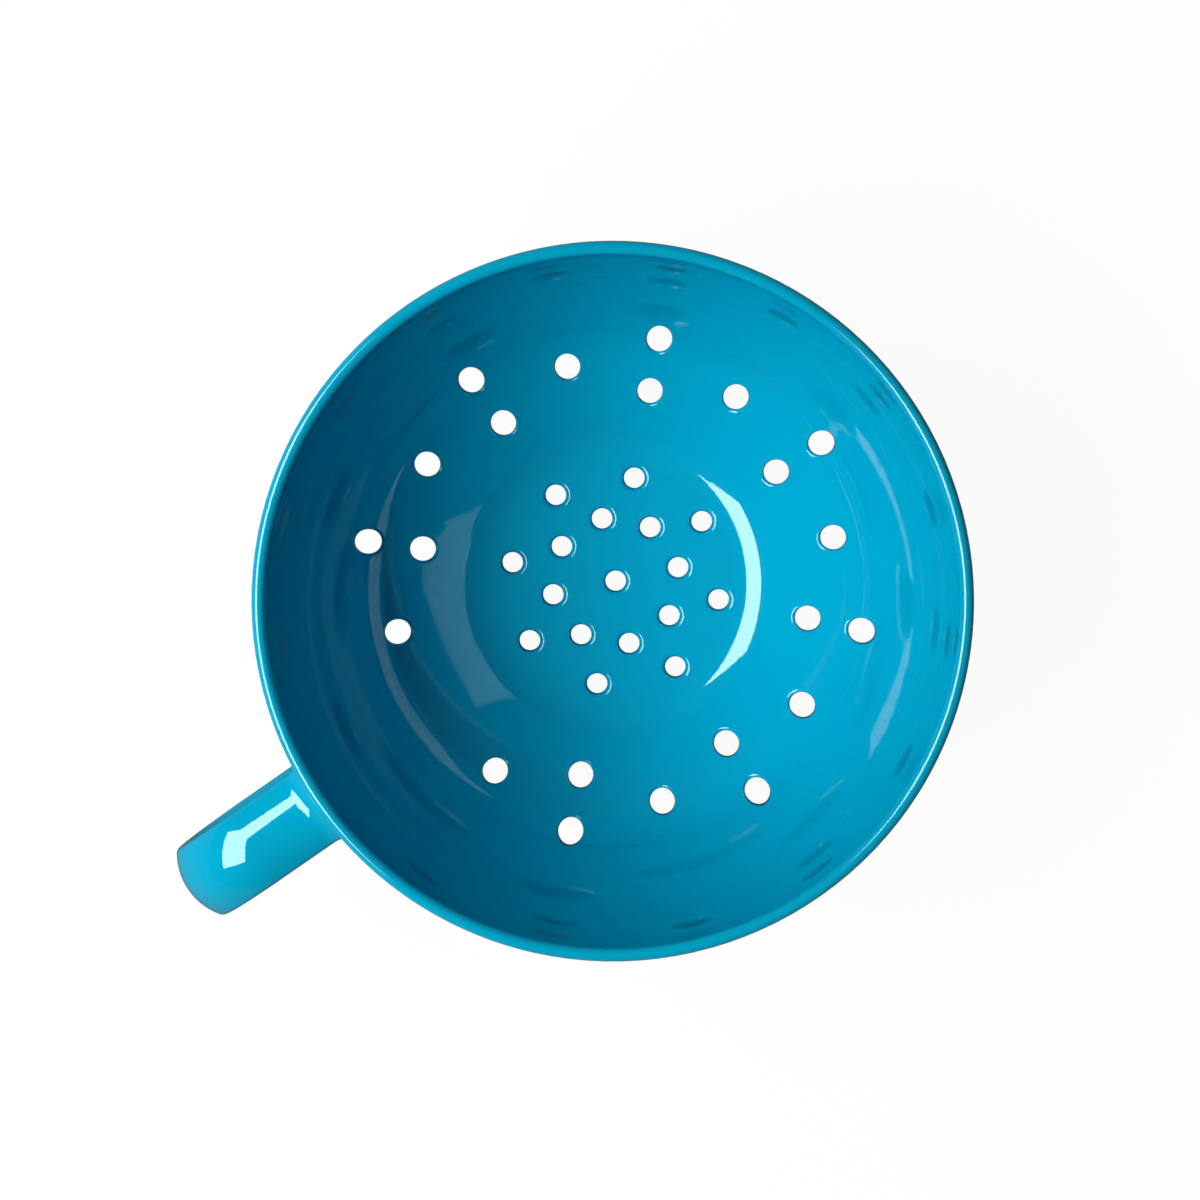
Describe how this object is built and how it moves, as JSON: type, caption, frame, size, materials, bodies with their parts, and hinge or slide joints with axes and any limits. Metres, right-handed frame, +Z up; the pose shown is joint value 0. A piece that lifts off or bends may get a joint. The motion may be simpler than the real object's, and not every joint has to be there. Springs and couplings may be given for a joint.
{
  "type": "berry colander bowl",
  "caption": "Round deep bowl pierced with drain holes in its flat floor and wall, with a loop handle at one side and a foot ring, for rinsing and draining berries.",
  "frame": {"origin": "on the bowl's axis, in the plane of the foot ring's standing face", "axes": "+Z up along the bowl's axis, +X out along the handle"},
  "size_m": [0.199, 0.16, 0.0865],
  "materials": {
    "blue_melamine": "high gloss moulded melamine in one cyan blue, inside and out"
  },
  "bodies": {
    "root": {"bowl": "blue_melamine", "foot_ring": "blue_melamine", "handle": "blue_melamine"}
  },
  "joints": []
}
